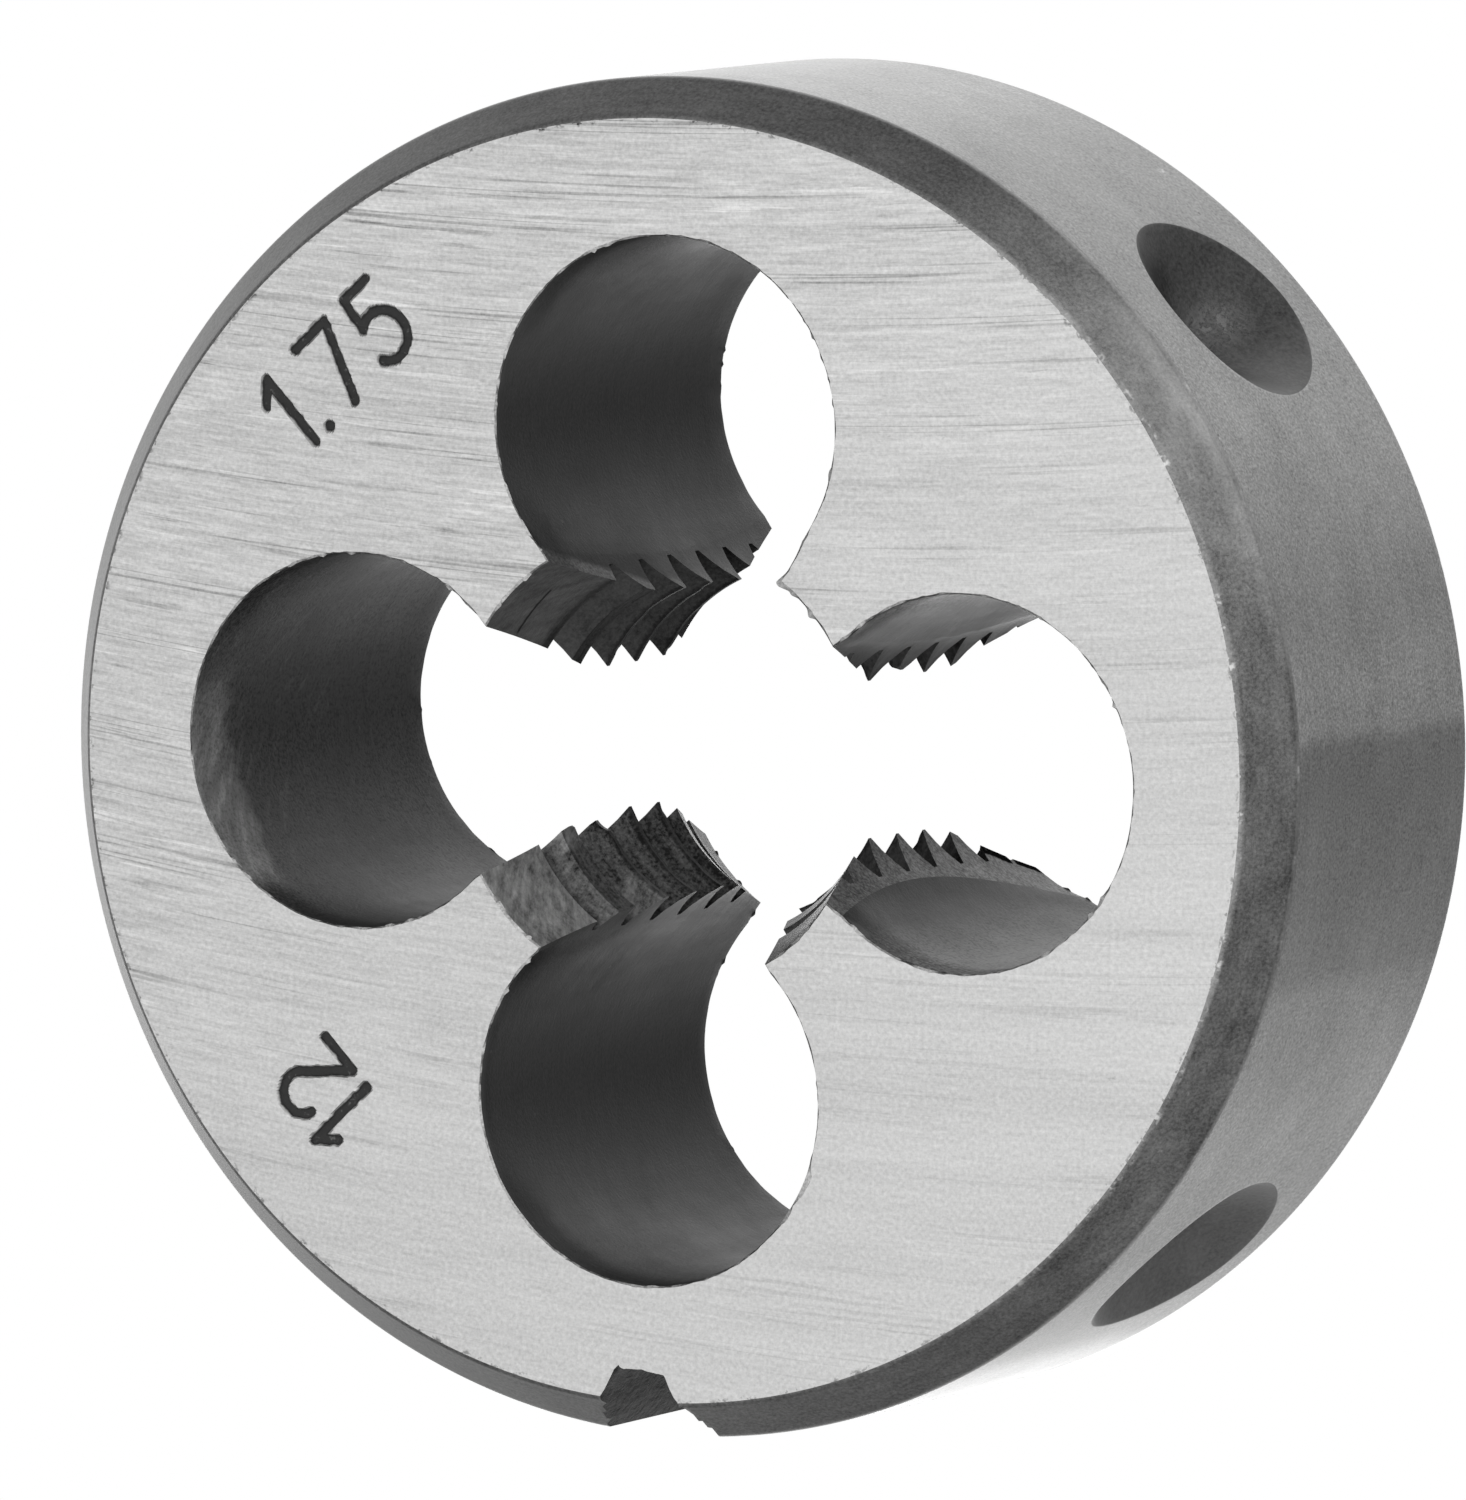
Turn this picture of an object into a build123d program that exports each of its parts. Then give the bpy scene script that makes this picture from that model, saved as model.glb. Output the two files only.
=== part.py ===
from build123d import *
from math import ceil, floor, radians, sqrt, tan
import os

# Round threading die, one piece of hardened steel, for cutting right-hand M12 x 1.75 threads.
# It lies on its rear face: the origin is the centre of that face, and +Z is the axis of the die,
# towards the marked front face, which the rod enters. Every length is in millimetres, every angle
# in degrees, and angle 0 is the +X direction.

# Blank
outer_diameter = 38.0
thickness = 14.0
edge_chamfer_width = 1.05
edge_chamfer_height = 1.5

# Thread of the four lands
thread_diameter = 12.0
thread_pitch = 1.75
flank_angle = 60.0
core_allowance = 0.17
groove_clearance = 0.02
groove_bottom_width = 0.23
first_groove_height = 1.475

# Lead cone at each end of the bore, which lets the rod start
lead_mouth_diameter = 12.9
lead_half_angle = 20.0

# Chip holes, which break into the bore and leave the lands between them
chip_hole_count = 4
chip_hole_diameter = 10.5
chip_hole_circle_diameter = 18.8

# Rake faces, ground on both sides of each chip hole's throat by a pin that stands nearer the axis of
# the die by the offset, and is rocked as it travels, so its track is slimmest at the waist
rake_waist_radius = 4.2
rake_waist_height = 9.0
rake_track_radius = 80.0
rake_offset = 1.4

# Slitting notch in the rim
notch_direction = -90.0
notch_depth = 1.94
notch_bottom_width = 1.3
notch_angle = 60.0
notch_corner_radius = 0.3

# Conical seats for the four screws of a die stock
seat_count = 4
seat_first_direction = 43.75
seat_height = 6.5
seat_mouth_diameter = 6.2
seat_cone_angle = 120.0

# Cutters run past the faces that they cut by this much
overrun = 1.0

outer_radius = outer_diameter / 2
chip_hole_radius = chip_hole_diameter / 2
chip_hole_circle_radius = chip_hole_circle_diameter / 2
lead_mouth_radius = lead_mouth_diameter / 2

# The core of a metric thread is 1.2269 pitches under its nominal diameter, and the die's own crests
# stand in by an allowance more
core_to_pitch = 1.2269
crest_radius = (thread_diameter - core_to_pitch * thread_pitch - core_allowance) / 2
groove_bottom_radius = thread_diameter / 2 + groove_clearance
lead_height = (lead_mouth_radius - crest_radius) / tan(radians(lead_half_angle))

on_base = (Align.CENTER, Align.CENTER, Align.MIN)


def around(shape, count, first_direction=0.0):
    """Copies of a shape that lies in the +X direction, evenly spaced about the axis of the die."""
    return [Rot(0, 0, first_direction + 360.0 * i / count) * shape for i in range(count)]


def blank():
    """Disc with a chamfer round each face, revolved from its half section."""
    face_radius = outer_radius - edge_chamfer_width
    half_section = Polyline(
        (0, 0),
        (face_radius, 0),
        (outer_radius, edge_chamfer_height),
        (outer_radius, thickness - edge_chamfer_height),
        (face_radius, thickness),
        (0, thickness),
        close=True,
    )
    return revolve(Plane.XZ * make_face(half_section), Axis.Z)


def bore():
    """Core hole with a lead cone at each end, as one revolved cutter."""
    spread = overrun * tan(radians(lead_half_angle))
    half_section = Polyline(
        (0, -overrun),
        (lead_mouth_radius + spread, -overrun),
        (crest_radius, lead_height),
        (crest_radius, thickness - lead_height),
        (lead_mouth_radius + spread, thickness + overrun),
        (0, thickness + overrun),
        close=True,
    )
    return revolve(Plane.XZ * make_face(half_section), Axis.Z)


def chip_hole():
    """Drill for the chip hole in the +X direction."""
    drill = Cylinder(chip_hole_radius, thickness + 2 * overrun, align=on_base)
    return Pos(chip_hole_circle_radius, 0, -overrun) * drill


def rake_pin():
    """Track of the rocked grinding pin that cuts both rake faces of the chip hole in the +X
    direction: a body of revolution whose side is one long hollow arc."""

    def radius_at(height):
        rise = height - rake_waist_height
        return rake_waist_radius + rake_track_radius - sqrt(rake_track_radius**2 - rise**2)

    foot = (radius_at(-overrun), -overrun)
    waist = (rake_waist_radius, rake_waist_height)
    head = (radius_at(thickness + overrun), thickness + overrun)
    side = ThreePointArc(foot, waist, head)
    ends = Polyline(head, (0, head[1]), (0, foot[1]), foot)
    track = revolve(Plane.XZ * make_face([side, ends]), Axis.Z)
    return Pos(chip_hole_circle_radius - rake_offset, 0, 0) * track


def groove_arc():
    """One thread groove across one land: a V with a flat bottom, swept along a right-hand helix
    whose middle is in the +X direction at height 0."""
    land_angle = 360.0 / chip_hole_count
    rise = thread_pitch * land_angle / 360.0
    helix = Helix(thread_pitch, rise, groove_bottom_radius)
    # The mouth of the V lies in the bore, and stays narrower than the pitch
    mouth_radius = crest_radius - groove_bottom_width
    half_bottom = groove_bottom_width / 2
    half_mouth = half_bottom + (groove_bottom_radius - mouth_radius) * tan(radians(flank_angle / 2))
    section = Polyline(
        (groove_bottom_radius, -half_bottom),
        (groove_bottom_radius, half_bottom),
        (mouth_radius, half_mouth),
        (mouth_radius, -half_mouth),
        close=True,
    )
    groove = sweep(Plane.XZ * make_face(section), path=helix, is_frenet=True)
    return Rot(0, 0, -land_angle / 2) * Pos(0, 0, -rise / 2) * groove


def thread_grooves():
    """Every groove of the four lands, each at the height where the one helix crosses its land.
    Where the lead cone is wider than the grooves there is nothing left for them to cut."""
    groove = groove_arc()
    plain_height = (lead_mouth_radius - groove_bottom_radius) / tan(radians(lead_half_angle))
    lowest = max(plain_height, 0.0) - thread_pitch / 2
    highest = thickness - lowest
    grooves = []
    for land in range(chip_hole_count):
        direction = 360.0 * (land + 0.5) / chip_hole_count
        base = first_groove_height + thread_pitch * direction / 360.0
        first_turn = ceil((lowest - base) / thread_pitch)
        last_turn = floor((highest - base) / thread_pitch)
        for turn in range(first_turn, last_turn + 1):
            height = base + turn * thread_pitch
            grooves.append(Rot(0, 0, direction) * Pos(0, 0, height) * groove)
    return grooves


def notch():
    """V with a flat bottom and rounded corners, along the full thickness of the rim."""
    bottom_radius = outer_radius - notch_depth
    top_radius = outer_radius + overrun
    half_bottom = notch_bottom_width / 2
    half_top = half_bottom + (top_radius - bottom_radius) * tan(radians(notch_angle / 2))
    section = Polygon(
        (bottom_radius, -half_bottom),
        (top_radius, -half_top),
        (top_radius, half_top),
        (bottom_radius, half_bottom),
        align=None,
    )
    corners = section.vertices().sort_by(Axis.X)[:2]
    section = fillet(corners, notch_corner_radius)
    cutter = extrude(Pos(0, 0, -overrun) * section, thickness + 2 * overrun, dir=(0, 0, 1))
    return Rot(0, 0, notch_direction) * cutter


def screw_seat():
    """Cone sunk into the rim in the +X direction, with its point towards the axis."""
    slope = tan(radians(seat_cone_angle / 2))
    # The mouth is measured where the cone leaves the rim beside its middle
    sagitta = outer_radius - sqrt(outer_radius**2 - (seat_mouth_diameter / 2) ** 2)
    point_radius = outer_radius - sagitta - seat_mouth_diameter / 2 / slope
    reach = outer_radius + overrun - point_radius
    section = Polyline((0, 0), (reach * slope, reach), (0, reach), close=True)
    cone = revolve(Plane.XZ * make_face(section), Axis.Z)
    return Pos(point_radius, 0, seat_height) * Rot(0, 90, 0) * cone


die = blank() - bore()
die -= around(chip_hole(), chip_hole_count)
die -= around(rake_pin(), chip_hole_count)
die -= thread_grooves()
die -= notch()
die -= around(screw_seat(), seat_count, seat_first_direction)
die.label = "threading_die"

os.makedirs("parts", exist_ok=True)
export_step(die, "parts/threading_die.step")
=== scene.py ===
import math

import bpy
import numpy as np
from mathutils import Matrix, Vector
from mathutils.geometry import delaunay_2d_cdt


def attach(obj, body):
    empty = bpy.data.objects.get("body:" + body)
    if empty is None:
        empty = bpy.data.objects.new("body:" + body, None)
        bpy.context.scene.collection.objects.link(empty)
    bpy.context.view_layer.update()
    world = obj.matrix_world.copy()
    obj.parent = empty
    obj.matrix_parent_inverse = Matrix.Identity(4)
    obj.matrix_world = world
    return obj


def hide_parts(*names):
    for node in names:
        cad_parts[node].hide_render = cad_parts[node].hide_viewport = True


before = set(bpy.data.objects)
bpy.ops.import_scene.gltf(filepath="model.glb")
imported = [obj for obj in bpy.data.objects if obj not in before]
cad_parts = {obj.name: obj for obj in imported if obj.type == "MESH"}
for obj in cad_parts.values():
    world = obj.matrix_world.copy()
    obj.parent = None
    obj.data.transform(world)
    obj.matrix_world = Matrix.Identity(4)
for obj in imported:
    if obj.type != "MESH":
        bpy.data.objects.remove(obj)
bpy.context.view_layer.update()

# Sizes of the die as in its CAD source, in millimetres and degrees
RIM_RADIUS = 19.0
THICKNESS = 14.0
CHAMFER_WIDTH = 1.05
CHAMFER_HEIGHT = 1.5
PITCH = 1.75
CREST_RADIUS = 4.8415
ROOT_RADIUS = 6.02
ROOT_WIDTH = 0.23
FLANK = math.tan(math.radians(30))
FIRST_GROOVE = 1.475
MOUTH_RADIUS = 6.45
LEAD = math.tan(math.radians(20))
MOUTH_AXIS = MOUTH_RADIUS - LEAD * THICKNESS
HOLE_RADIUS = 5.25
HOLE_CIRCLE = 9.4
RAKE_WAIST_RADIUS = 4.2
NOTCH_DIRECTION = -90.0
NOTCH_DEPTH = 1.94
NOTCH_BOTTOM = 1.3
NOTCH_CORNER = 0.3
NOTCH_LEAN = math.radians(60)
SEAT_MOUTH = 6.2
SEAT_SLOPE = math.tan(math.radians(60))
MM = 0.001

# Direction and height of each screw seat
SEATS = ((43.75, 6.66), (133.75, 6.5), (223.75, 6.5), (313.75, 6.36))

# The pin's track on both sides of each chip hole, counterclockwise: how far the pin stands in from
# the hole's centre, the height of its waist and the radius of its hollow side
RAKE_PINS = (
    ((1.51, 8.6, 80), (1.5, 7, 150)),
    ((1.38, 7, 59), (1.45, 7, 150)),
    ((1.28, 7, 150), (1.37, 7, 150)),
    ((1.45, 8.5, 150), (1.42, 9, 80)),
)

FINISHES = ("ground_face", "turned_chamfer", "ground_rim", "drilled_wall", "rake_face", "thread",
            "notch", "seat")
FACE, CHAMFER, RIM, WALL, RAKE, THREAD, NOTCH, SEAT = range(len(FINISHES))

# Edges at which faces meet by more degrees than this stay sharp
SHARP_ANGLE = 28


# Noise, places and the surface

def eased(t):
    """A smooth step as t goes from 0 to 1: three times its square less twice its cube."""
    return t * t * (3 - 2 * t)


def wander(turns, knots, seed):
    """Smooth noise from 0 to 1 round a closed line: random values at even knots, joined by cosine
    steps. turns is the place on the line, 1 being the whole of it."""
    values = np.random.default_rng(seed).random(knots)
    place = np.mod(turns, 1.0) * knots
    knot = np.floor(place).astype(int)
    step = (1 - np.cos(np.pi * (place - knot))) / 2
    return values[knot % knots] * (1 - step) + values[(knot + 1) % knots] * step


def relief(u, v, cell, seed):
    """Smooth noise from 0 to 1 on a plane: random values on a square lattice of this cell size,
    joined by cosine steps in both directions. The lattice repeats after its size."""
    size = 64
    values = np.random.default_rng(seed).random((size, size))
    column, row = np.floor(u / cell).astype(int), np.floor(v / cell).astype(int)
    s = (1 - np.cos(np.pi * (u / cell - column))) / 2
    t = (1 - np.cos(np.pi * (v / cell - row))) / 2
    left, right = column % size, (column + 1) % size
    low, high = row % size, (row + 1) % size
    near = values[low, left] * (1 - s) + values[low, right] * s
    far = values[high, left] * (1 - s) + values[high, right] * s
    return near * (1 - t) + far * t


def polar(radius, angle):
    """Points of the XY plane at these radii and angles in degrees, in a last axis of two."""
    angle = np.radians(angle)
    return np.stack(np.broadcast_arrays(radius * np.cos(angle), radius * np.sin(angle)), -1)


def turned(points, angle):
    """Points of the XY plane turned about the axis of the die."""
    c, s = math.cos(math.radians(angle)), math.sin(math.radians(angle))
    return points @ np.array([[c, s], [-s, c]])


def lifted(points, height):
    """Points of the XY plane, raised to these heights."""
    return np.concatenate([points, height[..., None]], -1)


def placed(name, data):
    """An object at the origin with this data, in the scene."""
    item = bpy.data.objects.new(name, data)
    bpy.context.scene.collection.objects.link(item)
    return item


class Skin:
    """The one closed surface of the die, gathered from patches that share the points of their
    edges. Each triangle has a finish, and each point a mark: 1 at the bottom of a cut number."""

    def __init__(self):
        self.points, self.faces, self.finish, self.mark, self.flat = [], [], [], [], []
        self.count = 0

    def add(self, points, faces, finish, mark=0.0, flat=False):
        points = np.reshape(points, (-1, 3))
        self.points.append(points)
        self.faces.append(np.reshape(faces, (-1, 3)) + self.count)
        self.finish.append(np.broadcast_to(finish, len(self.faces[-1])))
        self.mark.append(np.broadcast_to(np.ravel(mark), len(points)))
        self.flat.append(np.full(len(self.faces[-1]), flat))
        self.count += len(points)

    def grid(self, points, finish, closed=False, flip=False, mark=0.0, keep=None):
        """A patch of rows and columns, whose rows may close on themselves. keep picks its quads."""
        rows, columns = points.shape[:2]
        spans = columns if closed else columns - 1
        row, column = np.meshgrid(np.arange(rows - 1), np.arange(spans), indexing="ij")
        a = row * columns + column
        b = row * columns + (column + 1) % columns
        quads = np.stack([a, b, b + columns, a + columns], -1)
        finish = np.broadcast_to(finish, quads.shape[:2])
        if keep is not None:
            quads, finish = quads[keep], finish[keep]
        quads, finish = quads.reshape(-1, 4), finish.reshape(-1)
        if flip:
            quads = quads[:, ::-1]
        faces = np.concatenate([quads[:, [0, 1, 2]], quads[:, [0, 2, 3]]])
        self.add(points, faces, np.concatenate([finish, finish]), mark)

    def build(self, name, materials):
        """Makes the mesh. Points that agree to a hundredth of a micrometre become one, and faces
        that this leaves without area go."""
        points = np.concatenate(self.points)
        faces, finish = np.concatenate(self.faces), np.concatenate(self.finish)
        mark, flat = np.concatenate(self.mark), np.concatenate(self.flat)
        rounded = np.round(points, 5)
        _, first, place = np.unique(rounded, axis=0, return_index=True, return_inverse=True)
        faces = place.reshape(-1)[faces]
        whole = (faces != np.roll(faces, 1, axis=1)).all(axis=1)
        faces, finish, flat = faces[whole], finish[whole], flat[whole]
        mesh = bpy.data.meshes.new(name)
        mesh.from_pydata(points[first] * MM, [], faces)
        mesh.polygons.foreach_set("material_index", finish.astype(np.int32))
        marks = mesh.attributes.new("mark", "FLOAT", "POINT")
        marks.data.foreach_set("value", mark[first].astype(np.float32))
        for material in materials:
            mesh.materials.append(material)
        mesh.set_sharp_from_angle(angle=math.radians(SHARP_ANGLE))
        mesh.polygons.foreach_set("use_smooth", ~flat)
        mesh.update()
        return placed(name, mesh)


skin = Skin()

# Bore: lands, rake faces and chip holes

# Rows of the bore: one near each face, one below the first groove, and nine steps across each
# groove and the crest above it
LAND_TURNS, LAND_STEPS = 8, 9
BELOW_FIRST, REAR_EDGE, FRONT_EDGE = 9, 10, 11
ROW_TURN = np.concatenate([[0, 0], np.repeat(np.arange(LAND_TURNS), LAND_STEPS), [0]])[:, None]
ROW_STEP = np.tile(np.arange(LAND_STEPS), LAND_TURNS)
ROW_STEP = np.concatenate([[REAR_EDGE, BELOW_FIRST], ROW_STEP, [FRONT_EDGE]])[:, None]

RAKE_COLUMNS, WALL_COLUMNS, LAND_COLUMNS = 9, 46, 36

# Height from the faces of the rows near them, and least height of the middle of a groove. In the
# front lead cone no groove is shallower than the least depth
EDGE = 0.1
LOWEST_GROOVE = 0.45
LEAST_DEPTH = 0.12

# The rake face at a land's leading corner is clean, but for the dark one in this hole
STAINED_HOLE = 3

# Worn and broken teeth: land, number of the crest from the rear, the corner in degrees from the
# land's middle, the radius left there and its reach along the land in degrees
LEADING, TRAILING = 19, -19.5
WORN_TEETH = (
    (45, 3, TRAILING, 5.1, 5),
    (45, 0, TRAILING, 5.16, 6),
    (225, 5, TRAILING, 5.2, 4),
    (225, 4, TRAILING, 5.12, 7),
    (225, 0, TRAILING, 5.36, 9),
    (315, 1, LEADING, 4.94, 3),
    (315, 0, LEADING, 5.45, 6),
    (135, 1, LEADING, 4.9, 2),
)


def pin_radius(height, pin):
    """Radius of a rake pin's track: a hollow arc about its waist."""
    _, waist, track = pin
    return RAKE_WAIST_RADIUS + track - np.sqrt(track**2 - (height - waist) ** 2)


def bore_radius(height):
    """The core, or the nearer lead cone where that is wider."""
    depth = np.minimum(height, THICKNESS - height)
    return np.maximum(CREST_RADIUS, MOUTH_RADIUS - LEAD * depth)


def half_angle(radius, distance, circle):
    """Angle at the axis between a circle's centre, this far from the axis, and the circle's point
    at this radius, by the cosine rule."""
    cosine = (radius**2 + distance**2 - circle**2) / (2 * radius * distance)
    return np.degrees(np.arccos(np.clip(cosine, -1, 1)))


def groove_reach(ahead, behind):
    """From the middle of a groove to its edge: where the flank meets the core or a lead cone.
    ahead and behind are the heights to the faces in front of and behind the flank."""
    apex = ROOT_RADIUS + ROOT_WIDTH / (2 * FLANK)
    plain = (apex - CREST_RADIUS) * FLANK
    rising = (apex - MOUTH_RADIUS + ahead * LEAD) / (LEAD + 1 / FLANK)
    falling = (apex - MOUTH_RADIUS + behind * LEAD) / (1 / FLANK - LEAD)
    return np.clip(np.minimum(plain, np.minimum(rising, falling)), 0.03, 0.49 * PITCH)


def squeezed(height):
    """Heights near and past the two faces, where the lead cones are plain, drawn in between them:
    -0.75 to 1 goes to 0.22 to 1, and 13 to 15.6 goes to 13 to 13.78."""
    low = 0.22 + (height + 0.75) / 1.75 * 0.78
    high = 13.0 + (height - 13.0) / 2.6 * 0.78
    return np.where(height < 1.0, low, np.where(height > 13.0, high, height))


def worn_radius(direction, angle, tooth):
    """The least radius that wear leaves on a tooth: the core with a shallow wander, and at a broken
    tooth's corner a radius that fades away along the land."""
    turns = angle / 360 + tooth * 0.37
    least = CREST_RADIUS + 0.05 * wander(turns, 97, 61) ** 3
    for land, number, corner, radius, reach in WORN_TEETH:
        if land == direction:
            along = np.abs(angle - (direction + corner)) / reach
            along += 0.25 * wander(turns, 301, number + 62)
            broken = CREST_RADIUS + (radius - CREST_RADIUS) * eased(np.clip(1.35 - along, 0, 1))
            least = np.where(tooth == number, np.maximum(least, broken), least)
    return least


def curled_burr(direction, angle, height):
    """How far the burr at the rear of the south-east land's leading corner curls inwards: it runs
    up that corner to 2.95 mm, with a gap at 1.33 mm, and fades away along the land."""
    corner = direction + 8.8 + 1.72 * height
    fade = np.clip(1 - (corner - angle) / 2.2, 0, 1) * (direction == 315)
    return 0.1 * fade * (height < 2.95) * (1 - 0.9 * np.exp(-(((height - 1.33) / 0.12) ** 2)))


def land_surface(direction, angle):
    """Height and radius of the land in this direction for every row, at these angles. The middle of
    a groove rises by the pitch with each turn, and the rows stand off from it by steps: to its
    edges, in thirds down each flank to its bottom, and to the middle of the crest."""
    base = FIRST_GROOVE + PITCH * direction / 360
    base += PITCH * math.ceil((LOWEST_GROOVE - base) / PITCH)
    middle = base + PITCH * ROW_TURN + PITCH * (angle - direction) / 360
    up = groove_reach(THICKNESS - middle, middle)
    down = groove_reach(middle, THICKNESS - middle)
    root_up, root_down = np.minimum(ROOT_WIDTH, up) / 2, np.minimum(ROOT_WIDTH, down) / 2
    steps = [-down, -(2 * down + root_down) / 3, -(down + 2 * root_down) / 3, -root_down,
             root_up, (2 * root_up + up) / 3, (root_up + 2 * up) / 3, up,
             np.full_like(up, PITCH / 2), np.full_like(up, -PITCH / 2)]
    height = squeezed(middle + np.choose(np.minimum(ROW_STEP, BELOW_FIRST), steps))
    height = np.where(ROW_STEP == REAR_EDGE, EDGE, height)
    height = np.where(ROW_STEP == FRONT_EDGE, THICKNESS - EDGE, height)
    groove = ROOT_RADIUS - np.maximum(np.abs(height - middle) - ROOT_WIDTH / 2, 0) / FLANK
    shallow = (bore_radius(middle) > ROOT_RADIUS - LEAST_DEPTH) & (middle > THICKNESS / 2)
    cut = (ROW_STEP < LAND_STEPS) & ~shallow
    radius = np.where(cut, np.maximum(bore_radius(height), groove), bore_radius(height))
    tooth = np.floor((height - middle) / PITCH + ROW_TURN)
    radius = np.maximum(radius, worn_radius(direction, angle, tooth))
    return height, radius - curled_burr(direction, angle, height)


def hole_side(radius, height, grow, pin):
    """Angle at the axis from a chip hole's centre to its corner with a land of this radius: the
    wider of the drilled wall and the pin's track, whose centre is nearer by the pin's offset."""
    ground = half_angle(radius, HOLE_CIRCLE - pin[0], pin_radius(height, pin) + grow)
    return np.maximum(ground, half_angle(radius, HOLE_CIRCLE, HOLE_RADIUS + grow))


def land_corner(direction, side):
    """The corner column of a land: its angle, height and radius for every row. In turn, the land
    gives the radius at an angle and the hole's side gives the angle at a radius, until they agree.
    The side is 1 for the leading corner and -1 for the trailing one."""
    pin = RAKE_PINS[(direction + 45 * side) % 360 // 90][(1 - side) // 2]
    angle = np.full((len(ROW_TURN), 1), direction + 20.0 * side)
    for _ in range(12):
        height, radius = land_surface(direction, angle)
        angle = direction + side * (45 - hole_side(radius, height, 0.0, pin))
    height, radius = land_surface(direction, angle)
    return angle, height, radius


def share(count):
    """Even steps from 0 up to, and without, 1."""
    return (np.arange(count) / count)[None, :]


def hole_columns(quarter, start_xy, start_height, end_xy, end_height, grow, density):
    """The wall of a chip hole, turned to the +X direction, from the leading corner of the land
    before it to the trailing corner of the land after it. Its distance from the hole's centre is
    the drilled radius or, where it is greater, the reach of that side's pin."""
    drilled = HOLE_RADIUS + grow
    before, after = RAKE_PINS[quarter]

    def about_hole(point):
        """Direction of a point from the hole's centre."""
        return np.degrees(np.arctan2(point[..., 1], point[..., 0] - HOLE_CIRCLE))

    def boundary(height, pin):
        """Direction from the hole's centre in which the pin's track meets the drilled circle."""
        track = pin_radius(height, pin) + grow
        cosine = (drilled**2 + pin[0] ** 2 - track**2) / (2 * drilled * pin[0])
        return 180 - np.degrees(np.arccos(cosine))

    def reach(pin):
        """Distance from the hole's centre to the pin's track, in the direction of each point."""
        track = pin_radius(height, pin) + grow
        away = pin[0] * np.sin(np.radians(angle))
        return -pin[0] * np.cos(np.radians(angle)) + np.sqrt(track**2 - away**2)

    corner, last = about_hole(start_xy), about_hole(end_xy)
    first_side = np.maximum(-boundary(start_height, before), corner + 2.0)
    last_side = np.minimum(boundary(end_height, after), last - 2.0)
    rake_share, wall_share = share(RAKE_COLUMNS * density), share(WALL_COLUMNS * density)
    angle = np.concatenate([corner + (first_side - corner) * rake_share,
                            first_side + (last_side - first_side) * wall_share,
                            last_side + (last - last_side) * rake_share], 1)
    height = np.concatenate([start_height + 0 * rake_share,
                             start_height + (end_height - start_height) * wall_share,
                             end_height + 0 * rake_share], 1)
    ground = np.where(np.arange(angle.shape[1]) < angle.shape[1] // 2, reach(before), reach(after))
    return polar(np.maximum(drilled, ground), angle) + (HOLE_CIRCLE, 0), height


columns, column_kinds = [], []
for quarter in range(4):
    hole = 90 * quarter
    before_angle, before_height, before_radius = land_corner((hole - 45) % 360, 1)
    after_angle, after_height, after_radius = land_corner(hole + 45, -1)
    flat, height = hole_columns(quarter, polar(before_radius, before_angle - hole), before_height,
                                polar(after_radius, after_angle - hole), after_height, 0.0, 1)
    columns.append(lifted(turned(flat, hole), height))
    angle = after_angle + (land_corner(hole + 45, 1)[0] - after_angle) * share(LAND_COLUMNS)
    height, radius = land_surface(hole + 45, angle)
    columns.append(lifted(polar(radius, angle), height))
    column_kinds += [WALL if quarter == STAINED_HOLE else RAKE] * RAKE_COLUMNS
    column_kinds += [WALL] * (WALL_COLUMNS + RAKE_COLUMNS) + [THREAD] * LAND_COLUMNS
bore = np.concatenate(columns, 1)
column_kinds = np.array(column_kinds)
skin.grid(bore, column_kinds[None, :], closed=True, flip=True)

# Edge break round the bore on both faces, this many times as fine as the bore's own columns

FINE = 5

# The bore's outline is widened by this to find which way is outwards
WIDEN = 0.1

# No break or burr is this near a corner of a land, and over the next length they grow to full size
CORNER_CLEAR, CORNER_FADE = 0.15, 0.25

# Burrs on the front edge: place in X and Y, how far they stand out and half their length
BURRS = (
    (3.84, 5.19, 0.15, 0.22),
    (4.14, 4.94, 0.08, 0.12),
    (4.69, 4.43, 0.12, 0.13),
    (13.67, 3.17, 0.05, 0.09),
    (14.09, 2.5, 0.06, 0.09),
    (14.34, 2.05, 0.06, 0.09),
    (5.22, -10.74, 0.09, 0.12),
)

# Chipped parts of the same edge: place, how much wider they are broken and half their length
CHIPS = ((4.93, -11.45, 0.13, 0.5), (4.34, -12.34, 0.07, 0.3), (-6.1, 2.05, 0.08, 0.25))


def bore_outline(height, grow):
    """The outline of bore and chip holes at this height, widened by this much all round."""
    parts = []
    radius = np.full((1, 1), float(bore_radius(height)) + grow)
    row = np.full((1, 1), float(height))
    for quarter in range(4):
        hole = 90 * quarter
        first, last = (hole_side(radius, row, grow, pin) for pin in RAKE_PINS[quarter])
        following = hole_side(radius, row, grow, RAKE_PINS[(quarter + 1) % 4][0])
        wall, _ = hole_columns(quarter, polar(radius, -first), row, polar(radius, last), row,
                               grow, FINE)
        parts.append(turned(wall[0], hole))
        land = last + (90 - following - last) * share(LAND_COLUMNS * FINE)
        parts.append(polar(radius, hole + land)[0])
    return np.concatenate(parts)


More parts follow.
